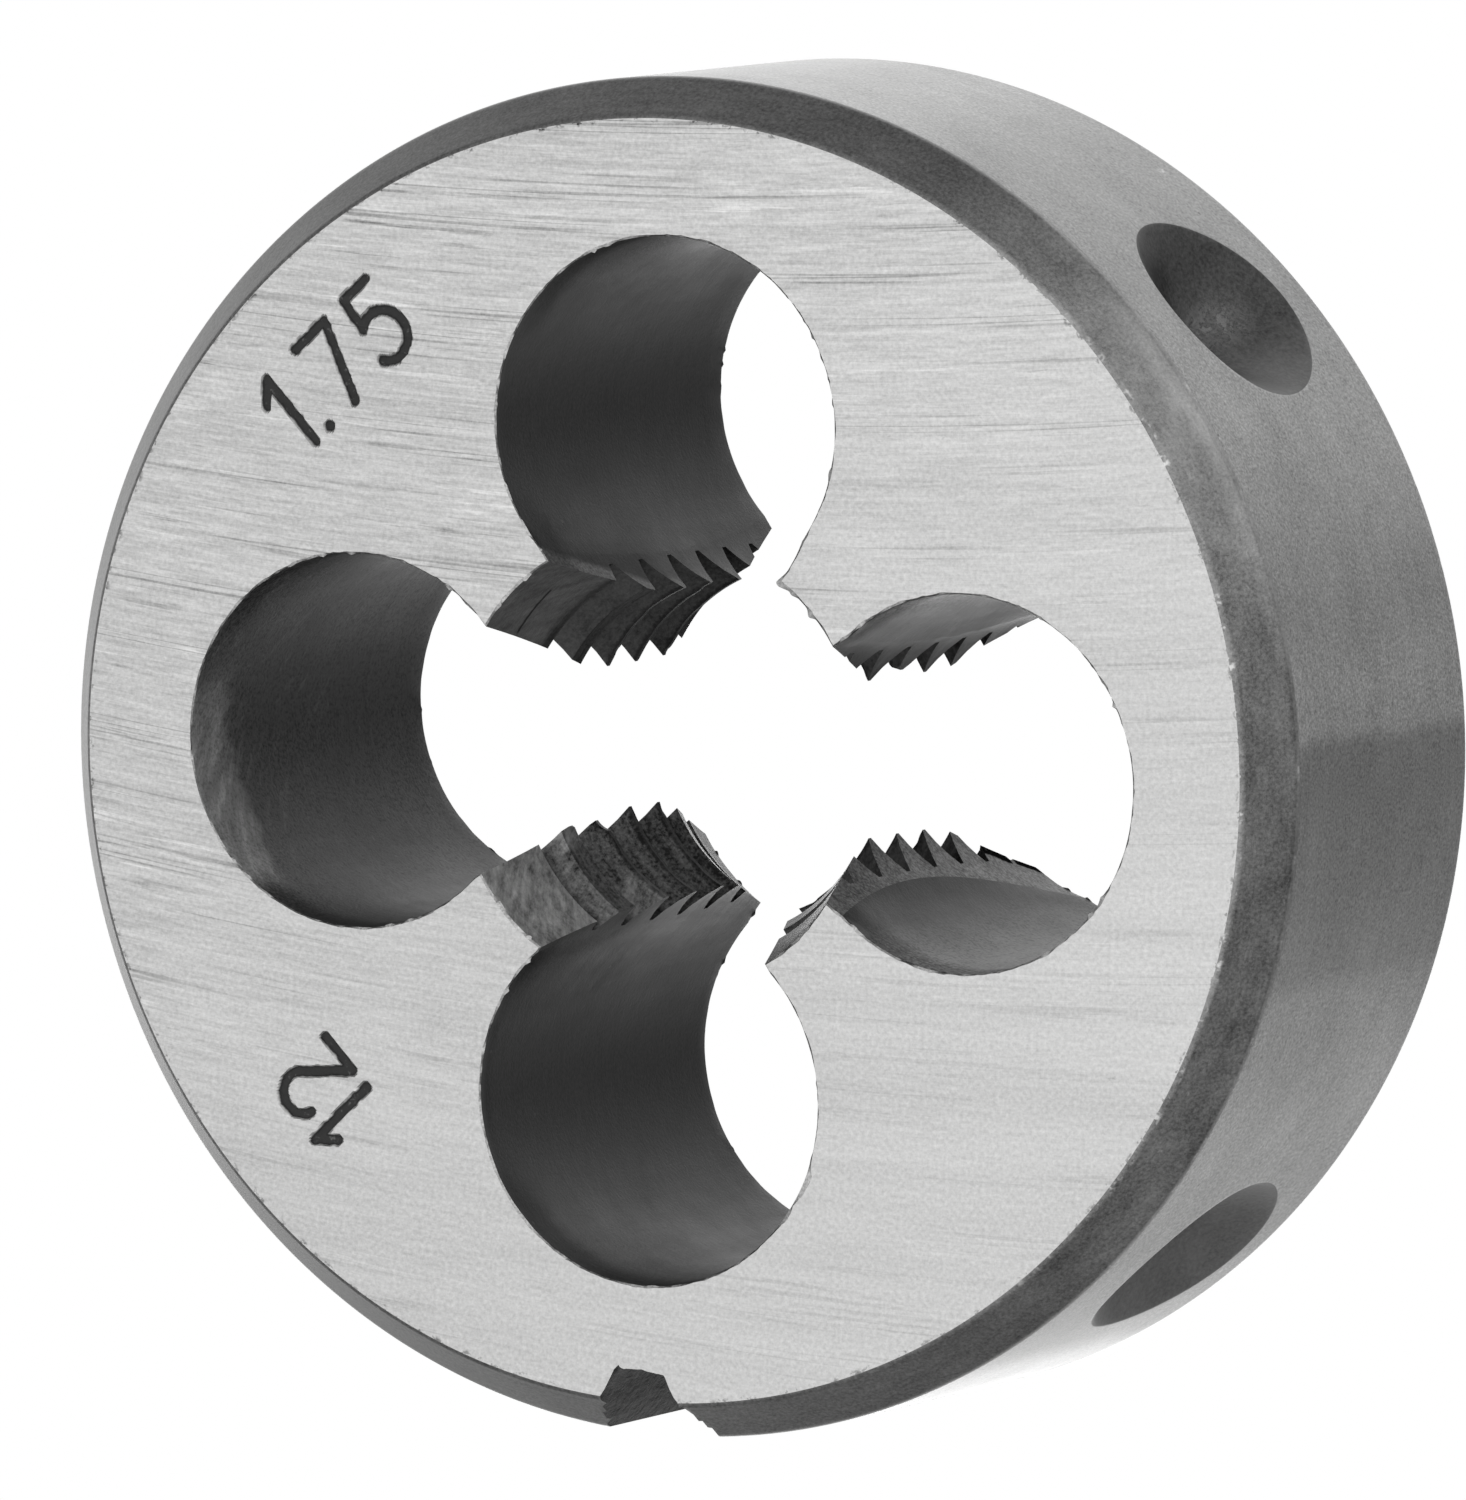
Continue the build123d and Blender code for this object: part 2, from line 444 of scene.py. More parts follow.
def edge_break(front):
    """Joins the bore's last row to a fine row near the face, and that to the face's own edge, which
    stands back by a width that wanders. Gives that edge."""

    def lump(x, y, reach, power):
        """1 at a place, falling with a power of the distance over the reach."""
        return np.exp(-(np.hypot(base[:, 0] - x, base[:, 1] - y) / reach) ** power)

    side = 1 if front else -1
    level = THICKNESS if front else 0.0
    base = bore_outline(level, 0.0)
    outward = (bore_outline(level, WIDEN) - base) / WIDEN
    length = np.cumsum(np.hypot(*(base - np.roll(base, 1, axis=0)).T))
    turns = length / length[-1]
    per_quarter = len(base) // 4
    land_start = (2 * RAKE_COLUMNS + WALL_COLUMNS) * FINE
    corners = base[[q * per_quarter + k for q in range(4) for k in (0, land_start)]]
    to_corner = np.hypot(*np.moveaxis(base[:, None] - corners, -1, 0)).min(1)
    ragged = np.clip((to_corner - CORNER_CLEAR) / CORNER_FADE, 0, 1)
    width = 0.035 * wander(turns, 260, 11 + front) ** 2 + 0.035 * wander(turns, 760, 13) ** 2
    width = 0.03 + width * ragged
    torn = wander(turns, 520, 21 + front) * (0.5 + 0.5 * wander(turns, 60, 23))
    burr = 0.1 * np.maximum(torn - 0.6, 0) / 0.4
    burr = (burr - 0.015 * wander(turns, 300, 31)) * ragged
    if front:
        for x, y, size, reach in BURRS:
            burr += size * lump(x, y, reach, 2)
        for x, y, size, reach in CHIPS:
            width += size * lump(x, y, reach, 4)
    upper = base + outward * width[:, None]
    middle = bore_outline(level - side * 0.05, 0.0) - outward * burr[:, None]
    heights = np.full((2, len(base)), level)
    heights[0] -= side * 0.045
    fine = lifted(np.stack([middle, upper]), heights)
    skin.grid(fine, RIM, closed=True, flip=front)
    coarse = bore[-1 if front else 0]
    count = len(coarse)
    points = np.concatenate([coarse, fine[0]])
    column, step = np.meshgrid(np.arange(count), np.arange(FINE), indexing="ij")
    here, ahead = FINE * column + step, (FINE * column + step + 1) % (FINE * count)
    apex = np.where(step < FINE // 2, column, (column + 1) % count)
    fans = np.stack([apex, count + ahead, count + here], -1).reshape(-1, 3)
    column = column[:, 0]
    bridges = np.stack([column, (column + 1) % count, count + FINE * column + FINE // 2], -1)
    faces = np.concatenate([fans, bridges])
    if front:
        faces = faces[:, ::-1]
    skin.add(points, faces, np.concatenate([np.repeat(column_kinds, FINE), column_kinds]))
    return fine[1]


front_hole = edge_break(True)
rear_hole = edge_break(False)

# Rim: chamfers, ground cylinder, slitting notch and screw seats

RIM_COLUMNS = 720
COLUMN_ANGLE = 360.0 / RIM_COLUMNS
CYLINDER_TOP = THICKNESS - CHAMFER_HEIGHT
INNER_EDGE = RIM_RADIUS - CHAMFER_WIDTH

# Half the columns and all the rows of the window that a screw seat takes in the rim
SEAT_COLUMNS, SEAT_ROWS = 24, 25

# Columns on each side of the notch's middle over which their spacing becomes even
BLEND_HALF = 30

# How deep the notch's walls are torn, and how much deeper the western one is broken out
TORN_DEPTH, HOLLOW = 0.17, 0.36


def notch_columns():
    """Angle and radius of the columns in the notch: the points of half its section, from the middle
    out along the flat bottom, the rounded corner and the wall. The wall is the line on which the
    distance from the middle is start + lean times the distance from the axis, up to the rim."""
    bottom = RIM_RADIUS - NOTCH_DEPTH
    flat_end = NOTCH_BOTTOM / 2 - NOTCH_CORNER * math.tan(NOTCH_LEAN / 2)
    flat = np.stack([np.linspace(0, flat_end, 4), np.full(4, bottom)], -1)
    bend = np.linspace(0, NOTCH_LEAN, 5)[1:]
    arc = np.stack([flat_end + NOTCH_CORNER * np.sin(bend),
                    bottom + NOTCH_CORNER * (1 - np.cos(bend))], -1)
    lean = 1 / math.tan(NOTCH_LEAN)
    start = arc[-1, 0] - arc[-1, 1] / math.tan(NOTCH_LEAN)
    root = math.sqrt((lean * lean + 1) * RIM_RADIUS**2 - start * start)
    out = (-lean * start + root) / (lean * lean + 1)
    top = np.array([start + lean * out, out])
    wall = arc[-1] + (top - arc[-1]) * np.linspace(0, 1, 8)[1:, None]
    half = np.concatenate([flat, arc, wall])
    side = np.degrees(np.arctan2(half[:, 0], half[:, 1]))
    return side, np.hypot(half[:, 0], half[:, 1])


column_angle = np.arange(RIM_COLUMNS) * COLUMN_ANGLE
reach_radius = np.full(RIM_COLUMNS, RIM_RADIUS)
side, notch_radius = notch_columns()
middle_column = round(NOTCH_DIRECTION % 360 / COLUMN_ANGLE)
notch_half = len(side) - 1
beside = BLEND_HALF - notch_half
to_even = (BLEND_HALF * COLUMN_ANGLE - side[-1]) * np.arange(1, beside + 1) / beside
spread = np.concatenate([side, side[-1] + to_even])
hollow = HOLLOW * np.exp(-(((np.arange(len(notch_radius)) - 8.6) / 2.4) ** 2))
for sign in (1, -1):
    place = middle_column + sign * np.arange(len(spread))
    column_angle[place] = middle_column * COLUMN_ANGLE + sign * spread
    reach_radius[place[: notch_half + 1]] = notch_radius - hollow * (sign == -1)

# Rows of the rim from the front face to the rear face: radius and height of the section
FACE_BREAK = 0.05
lean = CHAMFER_HEIGHT / CHAMFER_WIDTH
chamfer_share = np.array([0.04, 0.1, 0.3, 0.5, 0.7, 0.9, 0.97])
section = [(INNER_EDGE - FACE_BREAK, THICKNESS)]
section += [(INNER_EDGE + CHAMFER_WIDTH * s, THICKNESS - CHAMFER_HEIGHT * s) for s in chamfer_share]
seat_rows = np.linspace(10.65, 2.35, SEAT_ROWS)
cylinder_rows = [CYLINDER_TOP - 0.05, CYLINDER_TOP - 0.18, 11.9, 11.3, *seat_rows, 1.95,
                 CHAMFER_HEIGHT + 0.18, CHAMFER_HEIGHT + 0.05]
section += [(RIM_RADIUS, h) for h in cylinder_rows]
section += [(INNER_EDGE + CHAMFER_WIDTH * s, CHAMFER_HEIGHT * s) for s in chamfer_share[::-1]]
section += [(INNER_EDGE - FACE_BREAK, 0.0)]
section = np.array(section)
section_radius, section_height = section[:, :1], section[:, 1:]

# Where the notch is deeper than the section, its wall runs up to the chamfer or the face
wall_radius = np.minimum(section_radius, reach_radius)
base = np.clip(reach_radius, INNER_EDGE, RIM_RADIUS)
wall_top = THICKNESS - (base - INNER_EDGE) * lean
below = (section_radius - base) / np.maximum(RIM_RADIUS - base, 1e-6)
spread_height = wall_top - (wall_top - CYLINDER_TOP) * below
mirror = section_height < THICKNESS / 2
near = np.where(mirror, THICKNESS - section_height, section_height)
on_wall = (section_radius > base + 1e-9) & (near > CYLINDER_TOP)
near = np.where(on_wall, spread_height, near + 0 * base)
rim_height = np.where(mirror, THICKNESS - near, near)

# The notch's wall is torn in lumps of two sizes, which die out towards the rim
along_rim = np.arange(RIM_COLUMNS)[None, :] * 0.13
rough = relief(along_rim, rim_height, 0.32, 5) + 0.6 * relief(along_rim, rim_height, 0.17, 6)
fade = np.clip((RIM_RADIUS - reach_radius - 0.2) / 0.9, 0, 1)
in_notch = wall_radius >= reach_radius - 1e-9
wall_radius -= np.where(in_notch, TORN_DEPTH * (rough - 0.8) * fade, 0)
rim = lifted(polar(wall_radius, column_angle[None, :]), rim_height)

chamfer_rows = len(chamfer_share) + 1
row_kind = np.full(len(section) - 1, RIM)
row_kind[:chamfer_rows] = CHAMFER
row_kind[-chamfer_rows:] = CHAMFER
cut_in = reach_radius < section_radius - 1e-9
cut_in |= np.roll(cut_in, -1, axis=1)
rim_kind = np.where(cut_in[:-1] & cut_in[1:], NOTCH, row_kind[:, None])
row_of_seat = int(np.argmin(np.abs(section[:, 1] - seat_rows[0])))
keep = np.ones((len(section) - 1, RIM_COLUMNS), bool)
for direction, _ in SEATS:
    middle = round(direction / COLUMN_ANGLE)
    rows = slice(row_of_seat, row_of_seat + SEAT_ROWS - 1)
    keep[rows, middle - SEAT_COLUMNS: middle + SEAT_COLUMNS] = False
skin.grid(rim, rim_kind, closed=True, flip=True, keep=keep)


# Rings round a seat, as shares of the way from the window's border to the mouth, and rings of its
# cone, as shares of the way from the point to the mouth
SHELL_SHARES = (0, 0.35, 0.65, 0.85, 0.95)
CONE_SHARES = np.array([0.985, 0.93, 0.82, 0.7, 0.58, 0.46, 0.35, 0.25, 0.16, 0.09, 0.04, 0.0])


def seat_patch(direction, level):
    """The rim round one screw seat and the seat itself: rings that pass from the border of a window
    in the rim's grid to the mouth, where a cone meets the cylinder, and on to the cone's point. The
    mouth is found in each direction by halving the lengths between which it lies."""
    middle = round(direction / COLUMN_ANGLE)
    rows = np.arange(row_of_seat, row_of_seat + SEAT_ROWS)
    across = np.arange(middle - SEAT_COLUMNS, middle + SEAT_COLUMNS + 1)
    border = np.concatenate([
        rim[rows[0], across[:-1]], rim[rows[:-1], across[-1]],
        rim[rows[-1], across[:0:-1]], rim[rows[:0:-1], across[0]],
    ])
    angle = np.degrees(np.arctan2(border[:, 1], border[:, 0])) - direction
    s = np.radians((angle + 180) % 360 - 180) * RIM_RADIUS
    z = border[:, 2] - level
    toward = np.arctan2(z, s)
    sagitta = RIM_RADIUS - math.sqrt(RIM_RADIUS**2 - (SEAT_MOUTH / 2) ** 2)
    point = RIM_RADIUS - sagitta - SEAT_MOUTH / 2 / SEAT_SLOPE
    low, high = np.zeros_like(s), np.full_like(s, SEAT_MOUTH)
    for _ in range(40):
        half = (low + high) / 2
        a = half * np.cos(toward) / RIM_RADIUS
        across_cone = np.hypot(RIM_RADIUS * np.sin(a), half * np.sin(toward))
        inside = (RIM_RADIUS * np.cos(a) - point) * SEAT_SLOPE > across_cone
        low, high = np.where(inside, half, low), np.where(inside, high, half)
    mouth = (low + high) / 2
    reach = np.hypot(s, z)
    rings = [reach + (mouth + 0.05 - reach) * share_in for share_in in SHELL_SHARES]
    rings = np.stack([*rings, mouth + 0.035])
    round_rim = polar(RIM_RADIUS, np.degrees(rings * np.cos(toward) / RIM_RADIUS))
    shell = lifted(round_rim, rings * np.sin(toward) + level)
    a = mouth * np.cos(toward) / RIM_RADIUS
    lip_height = mouth * np.sin(toward) + level
    lip = np.stack([RIM_RADIUS * np.cos(a), RIM_RADIUS * np.sin(a), lip_height], -1)
    tip = np.array([point, 0, level])
    cone = tip + (lip - tip) * CONE_SHARES[:, None, None]
    turns = np.arange(len(s))[None, :] / len(s)
    t = CONE_SHARES[:, None]
    pit = np.clip((0.4 - t) / 0.2, 0, 1) * np.clip(t / 0.06, 0, 1)
    cone[..., 0] += 0.09 * pit * (wander(turns + t * 0.7, 26, 40 + middle) - 0.3)
    surface = np.concatenate([shell, cone])
    surface[..., :2] = turned(surface[..., :2], direction)
    surface[0] = border
    kinds = np.where(np.arange(len(surface) - 1) < len(SHELL_SHARES), RIM, SEAT)
    skin.grid(surface, kinds[:, None], closed=True, flip=True)


for direction, level in SEATS:
    seat_patch(direction, level)

# Plain numbers cut into the front face

# Half the width of a stroke and its depth, the gap after a figure and the spacing of the points
STROKE, STROKE_DEPTH = 0.15, 0.11
FIGURE_GAP = 0.62
CELL = 0.05


def stroke_arc(x, y, rx, ry, start, end, count):
    """Points of an elliptic stroke, from one angle in degrees to another."""
    angle = np.radians(np.linspace(start, end, count))
    return np.stack([x + rx * np.cos(angle), y + ry * np.sin(angle)], -1)


# The stroke of each figure and of the point, one unit high, and its width
FIGURES = {
    "1": ([(0.0, 0.76), (0.22, 1.0), (0.22, 0.0)], 0.22),
    "2": ([*stroke_arc(0.27, 0.73, 0.27, 0.27, 165, -28, 16), (0.0, 0.0), (0.56, 0.0)], 0.56),
    "5": ([(0.5, 1.0), (0.09, 1.0), (0.06, 0.57),
           *stroke_arc(0.24, 0.32, 0.3, 0.32, 118, -140, 20)], 0.54),
    "7": ([(0.0, 1.0), (0.54, 1.0), (0.2, 0.0)], 0.54),
    ".": ([(0.0, 0.0), (0.0, 0.02)], 0.0),
}


def number_patch(text, centre, upward, height, window):
    """A window in the front face with a number cut into it: the depth falls smoothly across the
    stroke's edge, by the distance to the nearest stroke, to a flat bottom. Gives its border."""
    up = np.array(upward) / np.hypot(*upward)
    along = np.array([up[1], -up[0]])
    strokes, pen = [], 0.0
    for figure in text:
        line, width = FIGURES[figure]
        strokes.append(np.array(line) * height + (pen, 0))
        pen += width * height + FIGURE_GAP
    strokes = [line - ((pen - FIGURE_GAP) / 2, height / 2) for line in strokes]
    starts = np.concatenate([line[:-1] for line in strokes])
    ends = np.concatenate([line[1:] for line in strokes])
    count = [round(size / CELL) for size in window]
    v, u = np.meshgrid((np.arange(count[1] + 1) / count[1] - 0.5) * window[1],
                       (np.arange(count[0] + 1) / count[0] - 0.5) * window[0], indexing="ij")
    here = np.stack([u, v], -1)[..., None, :]
    run = ends - starts
    t = np.clip(((here - starts) * run).sum(-1) / np.maximum((run**2).sum(-1), 1e-9), 0, 1)
    away = np.hypot(*np.moveaxis(here - starts - t[..., None] * run, -1, 0)).min(-1)
    away += 0.05 * (relief(u + 9, v + 9, 0.16, 51) - 0.5)
    step = eased(np.clip((STROKE + 0.035 - away) / 0.09, 0, 1))
    beside = np.exp(-(((away - STROKE - 0.07) / 0.05) ** 2))
    flat = np.array(centre) + u[..., None] * along + v[..., None] * up
    inner = np.zeros_like(u, bool)
    inner[1:-1, 1:-1] = True
    level = np.where(inner, THICKNESS - STROKE_DEPTH * step, THICKNESS)
    points = lifted(flat, level)
    skin.grid(points, FACE, mark=np.where(inner, step + 0.12 * beside, 0))
    return np.concatenate([points[0, :-1], points[:-1, -1], points[-1, :0:-1], points[:0:-1, 0]])


windows = [
    number_patch("1.75", (-10.35, 10.48), (-0.7, 0.714), 2.3, (6.6, 3.2)),
    number_patch("12", (-10.15, -10.05), (-0.707, -0.707), 2.25, (3.9, 3.1)),
]


# The two flat faces, filled between their outlines

def face_fill(outer, holes, front):
    """Triangles between an outer outline and the outlines of holes, all in one plane."""
    points = np.concatenate([outer, *holes])
    edges, start = [], 0
    for ring in (outer, *holes):
        here = start + np.arange(len(ring))
        edges += np.stack([here, np.roll(here, -1)], -1).tolist()
        start += len(ring)
    _, _, triangles, sources, _, _ = delaunay_2d_cdt(points[:, :2].tolist(), edges, [], 0, 1e-7)
    faces = np.array(sources)[:, 0][np.array(triangles)]
    centre = points[faces][:, :, :2].mean(1)

    def inside(ring):
        """Whether each triangle's middle is inside a ring: a line from it crosses the ring an odd
        number of times."""
        a, b = ring[:, :2], np.roll(ring[:, :2], -1, 0)
        x, y = centre[:, :1], centre[:, 1:]
        spans = (a[:, 1] > y) != (b[:, 1] > y)
        rise = np.where(np.abs(b[:, 1] - a[:, 1]) < 1e-12, 1e-12, b[:, 1] - a[:, 1])
        crossing = a[:, 0] + (y - a[:, 1]) * (b[:, 0] - a[:, 0]) / rise
        return (spans & (x < crossing)).sum(1) % 2 == 1

    chosen = inside(outer)
    for ring in holes:
        chosen &= ~inside(ring)
    faces = faces[chosen]
    p = points[faces][:, :, :2]
    u, v = p[:, 1] - p[:, 0], p[:, 2] - p[:, 0]
    positive = u[:, 0] * v[:, 1] - u[:, 1] * v[:, 0] > 0
    faces = np.where((positive == front)[:, None], faces, faces[:, ::-1])
    skin.add(points, faces, FACE, flat=True)


face_fill(rim[0], [front_hole, *windows], True)
face_fill(rim[-1], [rear_hole], False)


# Materials

class Value:
    """An output of a node tree. Arithmetic on it adds Math nodes."""

    def __init__(self, nodes, socket):
        self.nodes, self.socket = nodes, socket

    def math(self, operation, *others):
        inputs = dict(enumerate((self, *others)))
        return self.nodes.node("Math", {"operation": operation}, inputs)

    def __add__(self, other):
        return self.math("ADD", other)

    def __mul__(self, other):
        return self.math("MULTIPLY", other)

    __radd__, __rmul__ = __add__, __mul__

    def __sub__(self, other):
        return self.math("SUBTRACT", other)

    def __rsub__(self, other):
        return self.nodes.node("Math", {"operation": "SUBTRACT"}, {0: other, 1: self})

    def __neg__(self):
        return 0 - self

    def size(self):
        return self.math("ABSOLUTE")

    def step(self, low, high):
        """A smooth step: 0 below low and 1 above high."""
        inputs = {"Value": self, "From Min": low, "From Max": high}
        return self.nodes.node("MapRange", {"interpolation_type": "SMOOTHSTEP"}, inputs)

    def fall(self, low, high):
        """A smooth step down: 1 below low and 0 above high."""
        return 1 - self.step(low, high)

    def band(self, low, full, fading, high):
        """1 from full to fading, 0 below low and above high."""
        return self.step(low, full) * self.fall(fading, high)


class Nodes:
    """The new node tree of a material or world."""

    def __init__(self, owner):
        owner.use_nodes = True
        self.tree = owner.node_tree
        self.tree.nodes.clear()

    def node(self, kind, settings=None, inputs=None, output=0):
        """Adds a shader node: its settings first, then the values or links of its sockets."""
        made = self.tree.nodes.new("ShaderNode" + kind)
        for name, value in (settings or {}).items():
            setattr(made, name, value)
        for name, value in (inputs or {}).items():
            if isinstance(value, Value):
                self.tree.links.new(value.socket, made.inputs[name])
            else:
                made.inputs[name].default_value = value
        return Value(self, made.outputs[output]) if made.outputs else None

    def split(self, vector):
        made = self.node("SeparateXYZ", inputs={0: vector}).socket.node
        return [Value(self, axis) for axis in made.outputs]

    def radius(self, x, y):
        """Distance from the axis of the die."""
        return (x * x + y * y).math("SQRT")

    def around(self, x, y, radius):
        """Distance round the axis from the +X direction, along a circle of this radius."""
        return y.math("ARCTAN2", x) * radius

    def from_face(self, z):
        """Distance from the nearer face."""
        return z.math("PINGPONG", THICKNESS / 2)

    def noise(self, u, v, w=0.0, detail=2.0, roughness=0.55):
        """Noise about 0, mostly within 0.3 of it, at a place given by three numbers."""
        place = self.node("CombineXYZ", inputs={0: u, 1: v, 2: w})
        inputs = {"Vector": place, "Scale": 1.0, "Detail": detail, "Roughness": roughness}
        return self.node("TexNoise", inputs=inputs) - 0.5

    def spots(self, u, v, w, size):
        """1 in round spots of this size about scattered points, 0 between them."""
        place = self.node("CombineXYZ", inputs={0: u, 1: v, 2: w})
        away = self.node("TexVoronoi", inputs={"Vector": place, "Scale": 1.0})
        return away.fall(size * 0.5, size)

    def grain(self, fineness, detail=2.0, roughness=0.7):
        """Noise that is the same in every direction, as the fine grain of ground steel is."""
        return self.noise(*(axis * fineness for axis in self.place), detail, roughness)


# Each paint below gives a finish's shade, roughness and relief at a place in millimetres, the depth
# of the relief in millimetres, and other values of the shader

def ground_face(n, x, y, z):
    """Bright steel, ground in long shallow arcs: across is the height of a place over the arc
    through the middle. Streaks, dashes, hairlines and deep scratches follow the arcs, strongest
    towards the upper left."""
    across = y + x * 0.0225 - x * x * 0.00325 - x * y * 0.0034
    strength = (y * 0.055 - x * 0.04).step(-0.9, 0.9) * 0.72 + 0.3
    dash = n.noise(x * 1.1, across * 10, 0, 3, 0.65)
    fine = n.noise(x * 0.4, across * 6, 4, 4, 0.7)
    lines = n.noise(x * 0.09, across * 3, 3, 5, 0.72)
    bands = n.noise(x * 0.035, across * 0.55, 7)
    patch = n.noise(x * 0.3, across * 0.7, 12, 3).step(-0.14, 0.16)
    broken = n.noise(x * 0.3, across * 2, 21, 3).step(-0.12, 0.08)
    group = n.noise(x * 0.05, across * 0.5, 31, 2).step(-0.03, 0.1)
    hair = n.noise(x * 0.03, across * 4, 35, 1).size().fall(0.015, 0.06)
    hair *= n.noise(x * 0.07, across * 1.1, 38, 2).step(0.02, 0.12)
    deep = (lines - 0.01).step(0.04, 0.12) * group * broken
    bright = (-lines - 0.01).step(0.04, 0.12) * group * broken
    cuts = dash.step(0.08, 0.2) * patch
    glints = (-dash).step(0.1, 0.22) * patch
    smudges = n.noise(x * 1.1, y * 1.5, 50, 4, 0.75).step(0.17, 0.28)
    grain = n.grain(8)
    radius = n.radius(x, y)
    ragged = (radius + n.grain(3) * 0.25).step(17.74, 17.88)
    nick = n.noise(n.around(x, y, 18) * 3.2, radius * 4, 60, 3, 0.65)
    nick = nick.step(0.04, 0.13) * ragged
    mark = n.node("Attribute", {"attribute_name": "mark"}, output="Fac")
    crumb = n.grain(5)
    inside = (mark + crumb * 0.5).step(0.25, 0.7)
    lit = inside * crumb.step(0.1, 0.3) * 0.1
    # Painted light: the steel is painted a little lighter towards the east, by x * 0.002.
    steel = 0.585 + x * 0.002 + bands * 0.12 + grain * 0.36 - smudges * 0.16 - nick * 0.3
    streaks = dash * 0.32 + fine * 0.5 + lines * 0.32 - deep * 0.24 + bright * 0.2 - hair * 0.2
    steel += (streaks - cuts * 0.16 + glints * 0.12) * strength
    shade = steel * (1 - inside * 0.965) + lit
    rough = 0.42 + fine * 0.12 + inside * 0.25
    height = fine * 0.5 + lines * 0.5 - deep * 0.8 - cuts * 0.6 + crumb * inside * 8
    return shade, rough, height, 0.0025, {"Metallic": 1 - inside * 0.8}


def edge_highlight_and_wear(n, turn, z):
    """Broken bright line where the east side of a chamfer meets the ground cylinder: part wear,
    part painted highlight.
    """
    near = (n.from_face(z) - CHAMFER_HEIGHT).size().fall(0, 0.07)
    return near * n.noise(turn * 0.7, z * 0.3, 25, 4, 0.75).step(0.05, 0.15)


def turned_chamfer(n, x, y, z):
    """Dull darker steel, turned and mottled, rubbed and nicked on its east side. It is painted
    lighter in the west and darker on its north and south sides, as painted light, and has painted
    highlights in a band in the north-east and along its edge with the cylinder.
    """
    turn = n.around(x, y, RIM_RADIUS)
    radius = n.radius(x, y)
    grain = n.grain(10)
    cloud = n.noise(turn * 0.5, z * 0.9, 4, 5, 0.65)
    rings = n.noise(turn * 0.12, z * 5, 9, 3, 0.6)
    worn = x.step(8.5, 15)
    specks = n.noise(turn * 2.2, z * 3, 15, 4, 0.7).step(0.12, 0.24) * worn
    rubbed = n.noise(turn * 0.2, z * 0.5, 22, 3, 0.7) * 0.8 + 0.8 - (z - CYLINDER_TOP).size()
    rubbed = rubbed.step(0, 0.7) * y.step(0, 6) * worn
    inner = (radius - INNER_EDGE).fall(0.02, 0.12)
    nick = n.noise(turn * 1.6, z * 2, 25, 3, 0.7).step(0.04, 0.14) * worn
    # Painted light: the chamfer is painted lighter in the west and darker on its north and south
    # sides.
    west = (-x).step(12.5, 18.5) * 0.22
    sides = y.size().step(9, 18.5) * 0.26
    arris = (n.from_face(z) - CHAMFER_HEIGHT).size().fall(0.03, 0.08)
    shade = 0.3 + grain * 0.46 + cloud * (0.2 + 0.36 * worn) + rings * 0.09
    shade = shade + specks * 0.18 + rubbed * 0.1 + inner * nick * 0.5
    # Painted highlight: a lighter band in the north-east.
    shade += turn.band(10, 15, 18.5, 21.5) * 0.09
    # Painted highlights along the edge where the chamfer meets the cylinder: an even line, and a
    # broken line that is part wear.
    shade = shade + arris * 0.13 + edge_highlight_and_wear(n, turn, z) * worn * 0.5
    rough = 0.46 + grain * 0.2 + cloud * 0.1
    height = grain * 0.6 + cloud * 0.6 + rings * 0.5
    return shade * (1 + west - sides), rough, height, 0.009, {"Metallic": 1}


def ground_rim(n, x, y, z):
    """Ground cylinder: even fine grain, faint streaks round it, a few pale rubs and pits, and
    painted reflections: a dark band along its east side with a light band beside it, and darker
    zones in the north-east and south-east."""
    turn = n.around(x, y, RIM_RADIUS)
    grain = n.grain(11)
    streak = n.noise(turn * 0.25, z * 3.2, 2, 3, 0.6)
    cloud = n.noise(turn * 0.3, z * 0.3, 8, 5, 0.65)
    rub = n.noise(turn * 1.2, z * 0.6 + turn * 0.3, 14, 5, 0.72).step(0.14, 0.24)
    rub *= n.noise(turn * 0.12, z * 0.2, 18, 1).step(-0.08, 0.06)
    place = turn + cloud * 0.7
    # Painted reflections: a dark band along the east side, a light band beside it, and a darker
    # zone in the north-east.
    dark_band = place.band(-5.9, -4.9, 1.2, 1.8) * 0.2
    beside = place.band(1.2, 2, 2.8, 5.5) * 0.24
    north = turn.band(11, 15, 21, 26) * 0.2
    # Painted shade: a darker zone in the south-east, as a share of dull black.
    south = turn.band(-21, -18.8, -15.5, -9.5) * 0.2
    worn = (x + y * 0.35).step(8, 15)
    pits = n.spots(turn * 0.8, z * 0.8, 0, 0.06)
    shade = 0.47 + grain * 0.88 + streak * 0.14 + cloud * 0.3 + rub * 0.3 - pits * 0.14
    # The painted reflections act here, with the broken bright line along the edge with the chamfer,
    # part wear and part painted highlight.
    shade = shade * (1 + beside - dark_band - north) + edge_highlight_and_wear(n, turn, z) * worn * 0.3
    rough = 0.42 + grain * 0.18 - rub * 0.1
    height = grain * 0.8 + streak * 0.35 - pits * 2
    return shade, rough, height, 0.007, {"Metallic": 1, "Soot": south}


